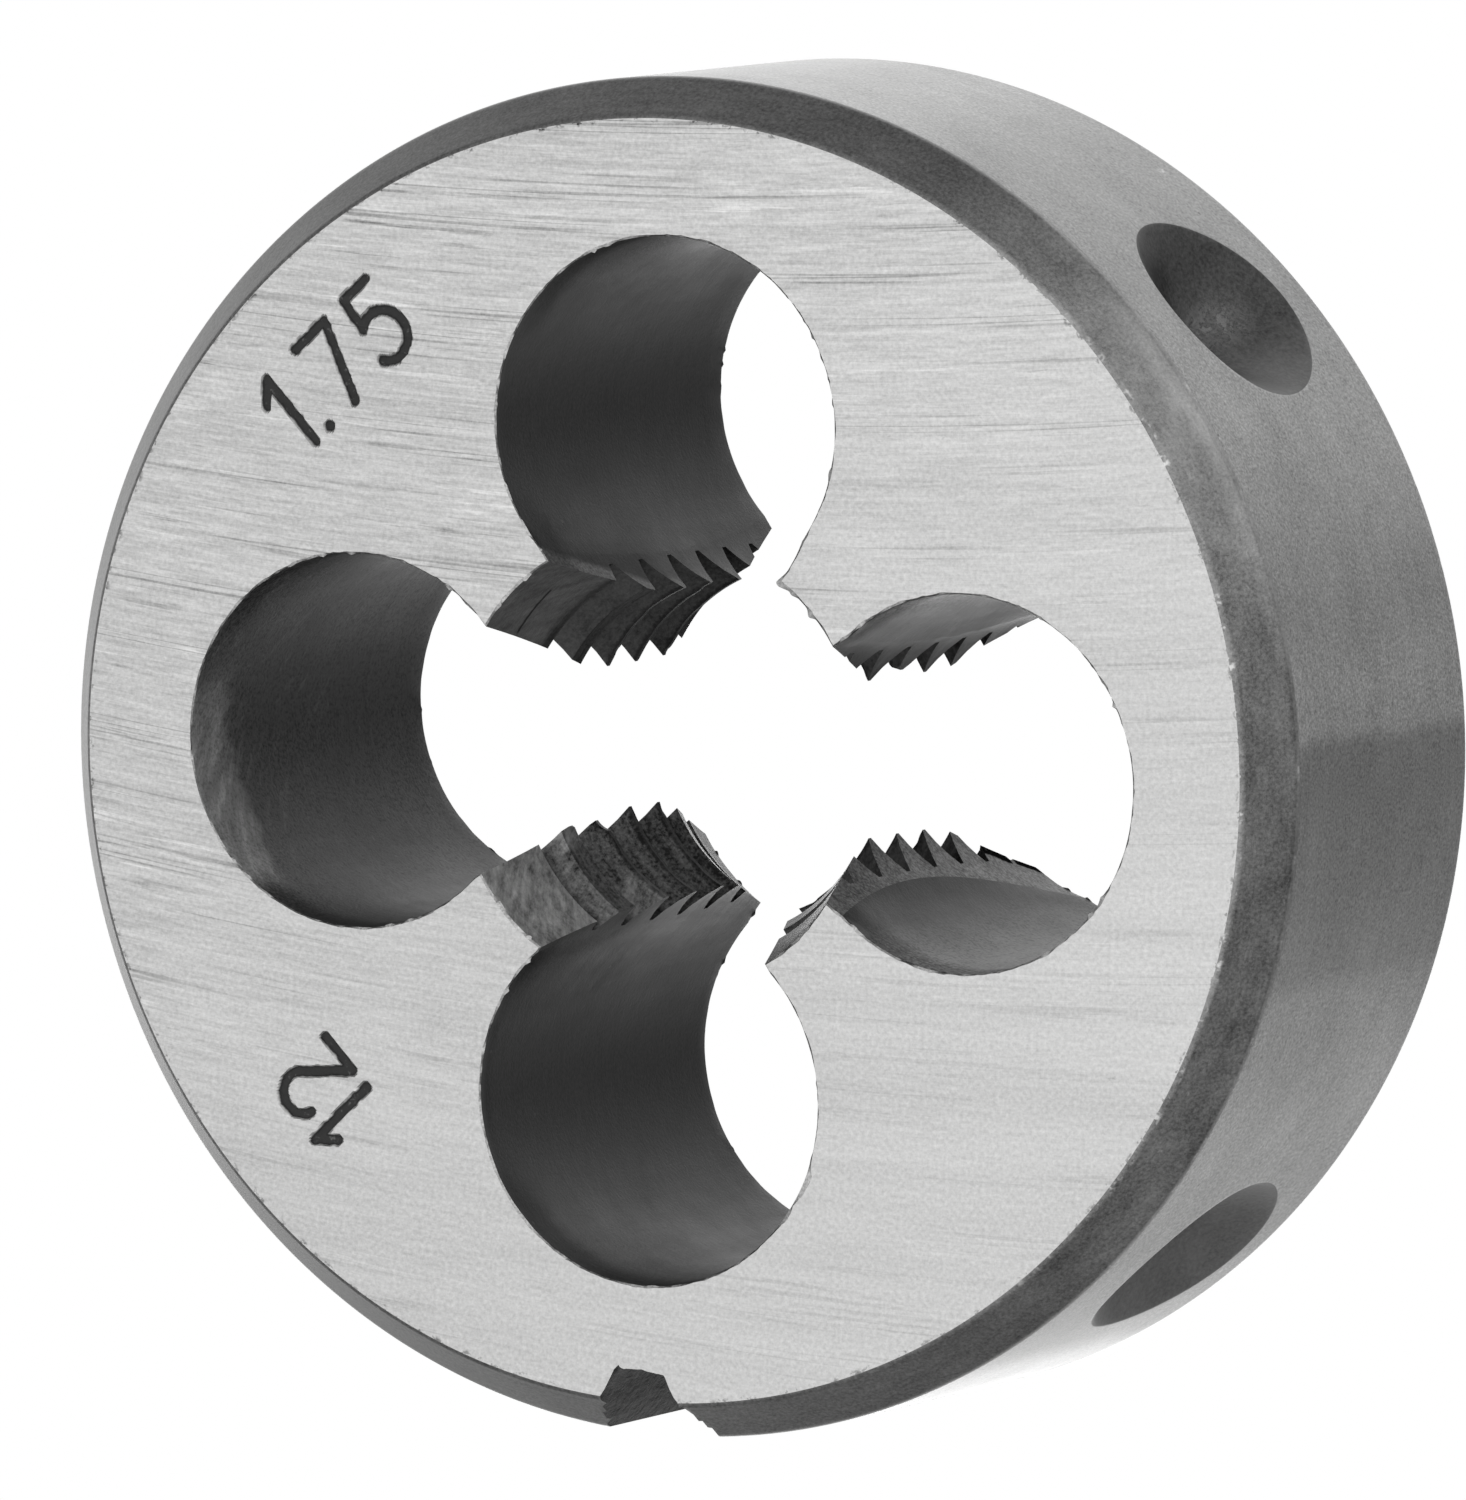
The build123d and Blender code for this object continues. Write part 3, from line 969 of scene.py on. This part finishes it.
def drilled_wall(n, x, y, z):
    """Dark scale over a drilled wall with faint rings and stains down it. It is rubbed pale at the
    mouth of the west hole. As painted light it is paler on the sides of the east hole and along the
    north-west land, and as painted shade it is darkest beside the other lands and near the front
    face."""
    radius = n.radius(x, y)
    grain = n.grain(9)
    cloud = n.noise(x * 0.5, y * 0.5, z * 0.28, 4, 0.6)
    down = n.noise(x * 1.4, y * 1.4, z * 0.12, 3)
    rings = n.noise(x * 0.2, y * 0.2, z * 2.4, 3, 0.6)
    drag = n.noise(z * 0.5 - y * 0.35, z * 1.5 + y * 1.4, x * 0.5, 5, 0.7)
    west = (-x).step(9.5, 12.5)
    specks = n.spots(x * 1.2, y * 1.2, z * 1.2, 0.1) * cloud.step(-0.05, 0.1)
    east = x.step(2, 5)
    # Painted shade near the lands.
    throat = radius.fall(5.5, 7.4) * z.step(7, 10).math("MAXIMUM", east)
    flank = east * y.size().step(3.9, 5.1)
    # Painted shade near the front face.
    lip = (z + cloud * 1.5).step(12, 13.3) * y.math("PINGPONG", 4.7).step(1.6, 3.6)
    rubbed = (z + cloud * 3).step(11.3, 12.5) * (-x).step(11.9, 13) * y.fall(0.2, 2)
    from_land = radius - (z * LEAD + MOUTH_AXIS).math("MAXIMUM", CREST_RADIUS)
    # Painted light: a paler strip along the north-west land.
    strip = (from_land + cloud * 0.4).fall(0.25, 0.6) * (y + x).step(0, 1)
    strip *= (-x).step(0.5, 1.5)
    mouth = (n.from_face(z) + grain * 0.5).step(0, 0.4)
    shade = 0.028 + grain * 0.062 + cloud * 0.045 + down * 0.018 + (1 - mouth) * 0.04
    shade = shade + specks * 0.05 + rubbed * (0.17 + drag * 0.5)
    # Painted light: the sides of the east hole are paler, with a gradient across them.
    shade += flank * (0.085 - y * 0.009 + grain * 0.4 + cloud * 0.1)
    shade += strip * (0.1 + grain * 0.4 + cloud * 0.2)
    scraped = drag.step(0, 0.2) * (z + y * 0.6).step(4, 8)
    shade += west * (grain * 0.06 + scraped * 0.07)
    rough = 0.42 + grain * 0.25 + cloud * 0.3 + down * 0.1 + drag * 0.12
    height = grain * 0.8 + rings * 0.6 + cloud * 0.8
    # Painted shade as a share of dull black: near the lands, near the front face and on the north
    # side of the east hole, broken up by the scale's grain and cloud.
    soot_and_shade = (throat * 0.42 * (1 - strip)).math("MAXIMUM", lip * 0.42 * (1 - rubbed)) + 0.06
    soot_and_shade += flank * y.step(0, 3) * 0.16
    soot_and_shade = soot_and_shade - grain * (0.3 + flank * 1.2 + west * 1.3) - cloud * (0.15 + west * 0.4)
    others = {"Metallic": 0, "Specular IOR Level": 0.43, "Soot": soot_and_shade}
    return shade, rough, height, 0.012, others


def rake_face(n, x, y, z):
    """Ground by the pin: grey, finely grained and clouded, with rings across it, painted palest in
    the north-west as painted light, and a black burr along the rear part of the corner."""
    grain = n.grain(9)
    rings = n.noise(x * 0.3, y * 0.3, z * 5, 3, 0.6)
    cloud = n.grain(0.7, 4, 0.65)
    from_land = n.radius(x, y) + z * (LEAD - 0.05) - MOUTH_RADIUS + cloud * 0.5
    burr = from_land.fall(0.1, 0.18) * z.fall(2.7, 3) * (z - 1.33).size().step(0.06, 0.14)
    crust = n.noise(x * 2.5, y * 2.5, z * 2, 4, 0.7)
    shade = 0.125 + grain * 0.48 + rings * 0.1 + cloud * 0.26 + crust * 0.12
    # Painted light: paler towards the north-west.
    shade = (shade + (y - x).step(4, 8) * (0.07 + crust * 0.2)) * 1.1
    soot_and_shade = burr * 0.95 + 0.1 - grain * 0.8 - crust * 0.5
    others = {"Metallic": 0.6, "Soot": soot_and_shade}
    return shade, 0.45 + grain * 0.2, grain + rings * 0.5, 0.01, others


def thread(n, x, y, z):
    """Dark cut threads: scraped along the helix. As painted shade they are darkest at the rear and
    on the crests, and darker in the groove roots of the south-west land. The front lead cone is
    rubbed paler, part wear and part painted light. It has brush marks on the south-west land, with
    pale patches below them, and the trace of a groove on the north-west land."""
    turn = n.around(x, y, 5.5)
    radius = n.radius(x, y)
    climb = z - turn * 0.0506
    grain = n.grain(9)
    scrape = n.noise(turn * 0.5, climb * 6, radius * 3, 4, 0.65)
    patch = n.noise(x * 0.9, y * 0.9, z * 0.7, 4, 0.65)
    brush = n.noise(turn * 0.9 + z * 0.9, z * 2.6 - turn * 2.6, 44, 4, 0.7)
    west = (-x).step(0, 2.5)
    low = (-y).step(0, 2.5) * west
    high = y.step(0, 2.5) * west
    lead = (climb + patch * 0.4 + high * 1.2).step(12, 12.3)
    second = (climb - 11.3 + patch * 0.6).size().fall(0.5, 0.8) * low
    top = second * (-turn - 13.7).step(0, 0.5) * climb.fall(11.4, 11.6)
    third = (climb - 9.6 + patch * 0.8).size().fall(0.3, 0.7) * low
    third *= (turn + 12.6).step(-0.3, 0.5)
    root = radius.step(5.6, 5.9) * low * (1 - lead)
    crest = (radius + grain * 0.1).fall(4.88, 4.98)
    trace = (z + turn * 0.0336 - 13.216 + brush * 0.06).size().fall(0.02, 0.05)
    trace = trace * (turn - 12.6).step(0, 0.1) * (turn - 14.1).fall(0, 0.2) * high
    # Painted shade: darker towards the rear face, deeper in the bore.
    shade = 0.018 + z * 0.0036 + scrape * 0.08 + patch * 0.12 + grain * 0.11
    shade = shade * (1 - high * 0.35) + low * (scrape * 0.2 + grain * 0.14)
    # The front lead cone is paler: part wear, with brush marks, and part painted light.
    shade += lead * (high * 0.095 + low * 0.28 + brush * (0.26 + low * 0.9))
    shade = shade + second * (0.04 + brush * 0.35) + top * (0.12 + brush * 0.5)
    shade += third * (0.06 + brush * 0.4)
    # Painted shade: the crests and the groove roots of the south-west land take a share of dull
    # black, as the trace of the groove does.
    soot_and_shade = (trace * 0.8).math("MAXIMUM", crest * 0.65).math("MAXIMUM", root * 0.4)
    rough = 0.42 + scrape * 0.3 + patch * 0.2
    return shade, rough, scrape + grain * 0.5, 0.014, {"Metallic": 0.6, "Soot": soot_and_shade}


def notch(n, x, y, z):
    """Rough dark wall of the slitting notch, torn in slanting lumps."""
    grain = n.grain(6)
    lump = n.noise(x * 3 + z * 1.2, y * 3, z * 1.6 - x * 0.8, 4, 0.62)
    cloud = n.noise(x * 0.9, y * 0.9, z * 0.5, 2)
    shade = 0.05 + lump * 0.2 + grain * 0.08 + cloud * 0.06
    return shade, 0.55 + lump * 0.3, lump + grain * 0.4, 0.09, {"Metallic": 0.3}


def seat(n, x, y, z):
    """Countersunk steel with a dark scale. The north-east seat has a pale rough spot beside its
    point, with darker bands on both sides of it near the front: along and rise are measured on the
    rim from the spot. The side where along is below zero is painted lighter, as painted light."""
    grain = n.grain(8)
    cloud = n.grain(0.6, 3, 0.55)
    crust = n.grain(1.8, 4, 0.75)
    along = y * 0.722 - x * 0.692 - 0.1
    rise = z - 5.3
    away = (along * along + rise * rise * 0.6).math("SQRT") + crust * 1.8
    spot = away.fall(0.2, 1.3)
    dark_band = (along.size() + crust - 1.4).size().fall(0.3, 1.2) * (rise + crust).step(0.6, 1.6)
    cracks = crust.size().fall(0, 0.05)
    shade = 0.09 + grain * 0.18 + cloud * 0.12 - dark_band * 0.055
    # Painted light: the side where along is below zero is lighter.
    shade += (-along).step(0.4, 2.4) * 0.07
    shade += spot * (0.1 + crust * 0.5 - cracks * 0.09)
    rough = 0.5 + grain * 0.2 + crust * spot * 0.3
    height = grain * 0.6 + crust * spot * 4
    return shade, rough, height, 0.016, {"Metallic": 0.5}


PAINTS = (ground_face, turned_chamfer, ground_rim, drilled_wall, rake_face, thread, notch, seat)

# Dull black of soot and scale, and of painted shade
SOOT_AND_SHADE_BLACK = (0.012, 0.012, 0.012, 1)


def finish_material(name, paint):
    """A steel finish, as its paint gives it. A share of it is dull black instead: soot and scale,
    and in some paints painted shade.
    """
    material = bpy.data.materials.new(name)
    n = Nodes(material)
    n.place = [axis * (1 / MM) for axis in n.split(n.node("TexCoord", output="Object"))]
    shade, roughness, height, depth, others = paint(n, *n.place)
    colour = n.node("CombineColor", inputs={0: shade, 1: shade, 2: shade * 0.995})
    bump = n.node("Bump", inputs={"Height": height, "Strength": 1, "Distance": depth * MM})
    soot_and_shade = others.pop("Soot", None)
    values = {"Base Color": colour, "Roughness": roughness, "Normal": bump, **others}
    steel = n.node("BsdfPrincipled", inputs=values)
    if soot_and_shade is not None:
        black = n.node("BsdfDiffuse", inputs={"Color": SOOT_AND_SHADE_BLACK})
        steel = n.node("MixShader", inputs={0: soot_and_shade, 1: steel, 2: black})
    n.node("OutputMaterial", inputs={0: steel})
    return material


finishes = [finish_material(name, paint) for name, paint in zip(FINISHES, PAINTS)]
die = skin.build("die_body", finishes)
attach(die, "root")
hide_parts("threading_die")

# Floor, light and surroundings

# The floor glows white, as the photograph's background does, and only the camera sees it. It lies
# a little below the die
floor_mesh = bpy.data.meshes.new("floor")
corners = [(-8, -8, 0), (8, -8, 0), (8, 8, 0), (-8, 8, 0)]
floor_mesh.from_pydata(corners, [], [(0, 1, 2, 3)])
floor = placed("floor", floor_mesh)
floor.location.z = -0.00002
floor.visible_glossy = False
floor.visible_diffuse = False
floor.visible_shadow = False
floor_material = bpy.data.materials.new("floor_white")
floor_nodes = Nodes(floor_material)
glow = floor_nodes.node("Emission")
floor_nodes.node("OutputMaterial", inputs={0: glow})
floor_mesh.materials.append(floor_material)

# The studio: a bright ceiling, dim walls, a pale bench that is darkest in this direction, and a
# bright spot low in the south-west, which shines in the lower edge of the rim
DARKEST = math.radians(-8)
world = bpy.data.worlds.new("studio")
studio = Nodes(world)
east, north, rise = studio.split(studio.node("TexCoord", output="Generated"))
ahead = east * math.cos(DARKEST) + north * math.sin(DARKEST)
ahead = ahead.math("DIVIDE", (east * east + north * north + 0.0001).math("SQRT"))
ceiling = rise.step(0.05, 0.7)
bench = (-rise).step(0.15, 0.75)
behind = ((1 - ahead) * 0.5).math("POWER", 0.68)
flare = (-east * 0.425 - north * 0.17 - rise * 0.889).step(0.95, 0.99)
brightness = 0.16 + 0.91 * ceiling + bench * (0.08 + 1.02 * behind) + flare * 3.4
sky = studio.node("Background", inputs={"Color": (1, 1, 1, 1), "Strength": brightness})
studio.node("OutputWorld", inputs={0: sky})
bpy.context.scene.world = world
bpy.context.scene.view_settings.view_transform = "Standard"

# A square lamp in the north-east, which faces the die
key = bpy.data.lights.new("key", "AREA")
key.size = 0.25
key.energy = 0.3
lamp = placed("key", key)
lamp.location = (0.45, 0.39, 0.1)
aim = Vector((0, 0, THICKNESS / 2 * MM))
lamp.rotation_euler = (aim - lamp.location).to_track_quat("-Z", "Y").to_euler()
lamp.visible_camera = False

# Camera, at the photograph's viewing angle

camera_data = bpy.data.cameras.new("camera")
camera_data.lens = 466.28
camera_data.sensor_width = 36.0
camera_data.clip_start = 0.01
camera_data.clip_end = 20.0
camera = placed("camera", camera_data)
camera.matrix_world = Matrix((
    (0.89338834, -0.06513159, 0.44453925, 0.24176729),
    (0.02414077, 0.99496602, 0.09726171, 0.05287193),
    (-0.44863626, -0.07616096, 0.89046337, 0.49352401),
    (0, 0, 0, 1),
))
bpy.context.scene.camera = camera
